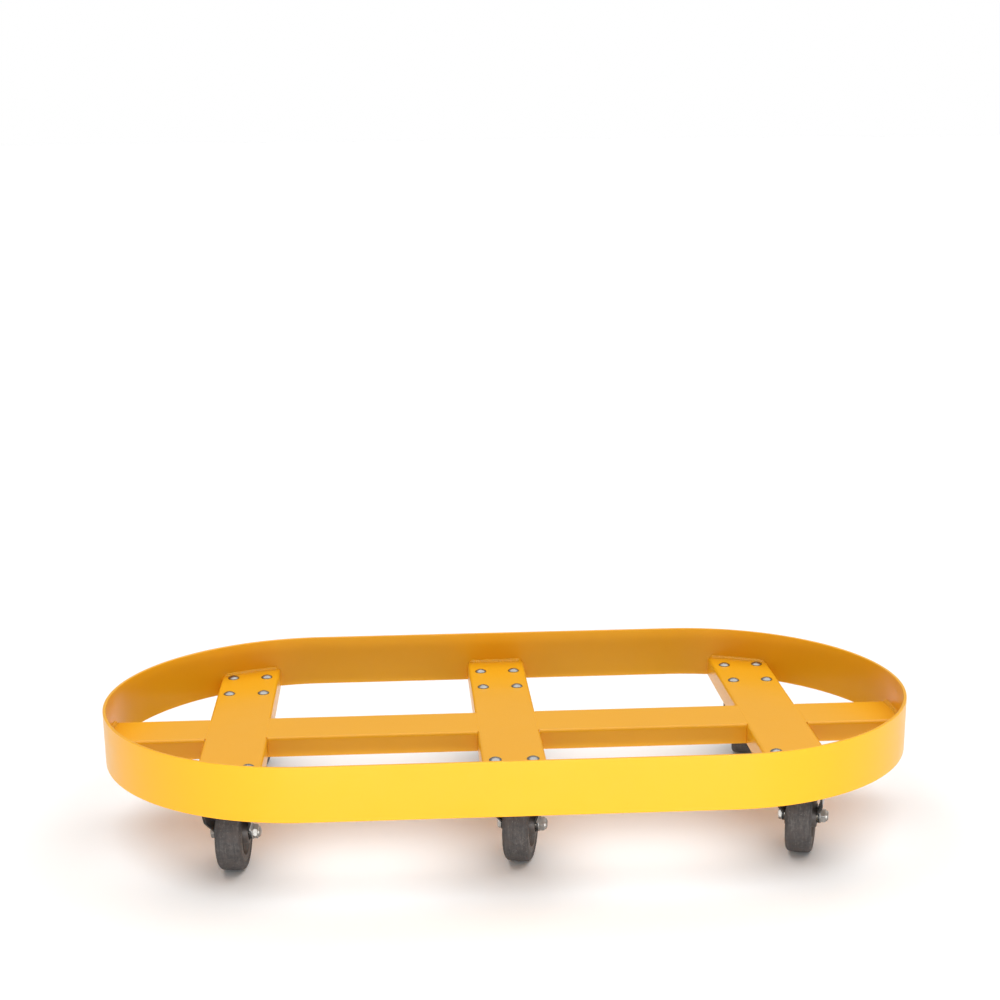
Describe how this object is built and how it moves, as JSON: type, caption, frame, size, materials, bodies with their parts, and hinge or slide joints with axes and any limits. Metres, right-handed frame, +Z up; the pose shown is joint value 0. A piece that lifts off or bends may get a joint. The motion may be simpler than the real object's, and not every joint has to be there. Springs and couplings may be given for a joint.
{
  "type": "drum dolly",
  "caption": "Tandem drum dolly: round-ended rim band round an inverted-channel deck for two drums standing side by side, on swivel casters.",
  "frame": {"origin": "on the floor under the middle of the dolly", "axes": "+X along the length of the dolly, +Y across it to the rear, +Z up"},
  "size_m": [1.2448, 0.641, 0.206],
  "materials": {
    "yellow_enamel": "gloss safety yellow enamel over welded steel",
    "zinc_pressings": "zinc plated pressings, satin, slightly dulled",
    "zinc_fasteners": "bright zinc plated fasteners",
    "bearing_steel": "oiled ground steel",
    "tyre_rubber": "dark grey-brown solid rubber, matt, scuffed tread",
    "core_moulding": "moulded dark grey wheel centre"
  },
  "bodies": {
    "frame": {"rim_band_left": "yellow_enamel", "rim_band_right": "yellow_enamel", "cross_member_left": "yellow_enamel", "cross_member_middle": "yellow_enamel", "cross_member_right": "yellow_enamel", "spine_left_outer": "yellow_enamel", "spine_left_inner": "yellow_enamel", "spine_right_inner": "yellow_enamel", "spine_right_outer": "yellow_enamel", "weld_beads": "yellow_enamel", "caster_bolts": "zinc_fasteners", "caster_lock_washers": "zinc_fasteners", "caster_nuts": "zinc_fasteners", "kingpins": "zinc_fasteners", "kingpin_nuts": "zinc_fasteners", "swivel_balls": "bearing_steel", "top_plate_front_left": "zinc_pressings", "top_plate_front_middle": "zinc_pressings", "top_plate_front_right": "zinc_pressings", "top_plate_rear_left": "zinc_pressings", "top_plate_rear_middle": "zinc_pressings", "top_plate_rear_right": "zinc_pressings"},
    "swivel_front_left": {"fork_front_left": "zinc_pressings", "axle_bolt_set_front_left": "zinc_fasteners", "hub_sleeve_front_left": "bearing_steel"},
    "wheel_front_left": {"wheel_core_front_left": "core_moulding", "tyre_front_left": "tyre_rubber", "roller_bearing_front_left": "bearing_steel"},
    "swivel_front_middle": {"fork_front_middle": "zinc_pressings", "axle_bolt_set_front_middle": "zinc_fasteners", "hub_sleeve_front_middle": "bearing_steel"},
    "wheel_front_middle": {"wheel_core_front_middle": "core_moulding", "tyre_front_middle": "tyre_rubber", "roller_bearing_front_middle": "bearing_steel"},
    "swivel_front_right": {"fork_front_right": "zinc_pressings", "axle_bolt_set_front_right": "zinc_fasteners", "hub_sleeve_front_right": "bearing_steel"},
    "wheel_front_right": {"wheel_core_front_right": "core_moulding", "tyre_front_right": "tyre_rubber", "roller_bearing_front_right": "bearing_steel"},
    "swivel_rear_left": {"fork_rear_left": "zinc_pressings", "axle_bolt_set_rear_left": "zinc_fasteners", "hub_sleeve_rear_left": "bearing_steel"},
    "wheel_rear_left": {"wheel_core_rear_left": "core_moulding", "tyre_rear_left": "tyre_rubber", "roller_bearing_rear_left": "bearing_steel"},
    "swivel_rear_middle": {"fork_rear_middle": "zinc_pressings", "axle_bolt_set_rear_middle": "zinc_fasteners", "hub_sleeve_rear_middle": "bearing_steel"},
    "wheel_rear_middle": {"wheel_core_rear_middle": "core_moulding", "tyre_rear_middle": "tyre_rubber", "roller_bearing_rear_middle": "bearing_steel"},
    "swivel_rear_right": {"fork_rear_right": "zinc_pressings", "axle_bolt_set_rear_right": "zinc_fasteners", "hub_sleeve_rear_right": "bearing_steel"},
    "wheel_rear_right": {"wheel_core_rear_right": "core_moulding", "tyre_rear_right": "tyre_rubber", "roller_bearing_rear_right": "bearing_steel"}
  },
  "joints": [
    {"name": "swivel_turn_front_left", "type": "hinge", "parent": "frame", "child": "swivel_front_left", "pos_m": [-0.42, -0.217, 0.13], "axis": [0, 0, 1], "continuous": true},
    {"name": "wheel_roll_front_left", "type": "hinge", "parent": "swivel_front_left", "child": "wheel_front_left", "pos_m": [-0.4166, -0.18166, 0.0575], "axis": [0.9954, -0.0958, 0], "continuous": true},
    {"name": "swivel_turn_front_middle", "type": "hinge", "parent": "frame", "child": "swivel_front_middle", "pos_m": [0, -0.217, 0.13], "axis": [0, 0, 1], "continuous": true},
    {"name": "wheel_roll_front_middle", "type": "hinge", "parent": "swivel_front_middle", "child": "wheel_front_middle", "pos_m": [0.00841, -0.18251, 0.0575], "axis": [0.9715, -0.2368, 0], "continuous": true},
    {"name": "swivel_turn_front_right", "type": "hinge", "parent": "frame", "child": "swivel_front_right", "pos_m": [0.42, -0.217, 0.13], "axis": [0, 0, 1], "continuous": true},
    {"name": "wheel_roll_front_right", "type": "hinge", "parent": "swivel_front_right", "child": "wheel_front_right", "pos_m": [0.43109, -0.18328, 0.0575], "axis": [0.95, -0.3123, 0], "continuous": true},
    {"name": "swivel_turn_rear_left", "type": "hinge", "parent": "frame", "child": "swivel_rear_left", "pos_m": [-0.42, 0.217, 0.13], "axis": [0, 0, 1], "continuous": true},
    {"name": "wheel_roll_rear_left", "type": "hinge", "parent": "swivel_rear_left", "child": "wheel_rear_left", "pos_m": [-0.41445, 0.25206, 0.0575], "axis": [0.9877, -0.1564, 0], "continuous": true},
    {"name": "swivel_turn_rear_middle", "type": "hinge", "parent": "frame", "child": "swivel_rear_middle", "pos_m": [0, 0.217, 0.13], "axis": [0, 0, 1], "continuous": true},
    {"name": "wheel_roll_rear_middle", "type": "hinge", "parent": "swivel_rear_middle", "child": "wheel_rear_middle", "pos_m": [0.00248, 0.25241, 0.0575], "axis": [0.9976, -0.0698, 0], "continuous": true},
    {"name": "swivel_turn_rear_right", "type": "hinge", "parent": "frame", "child": "swivel_rear_right", "pos_m": [0.42, 0.217, 0.13], "axis": [0, 0, 1], "continuous": true},
    {"name": "wheel_roll_rear_right", "type": "hinge", "parent": "swivel_rear_right", "child": "wheel_rear_right", "pos_m": [0.42738, 0.25172, 0.0575], "axis": [0.9781, -0.2079, 0], "continuous": true}
  ]
}
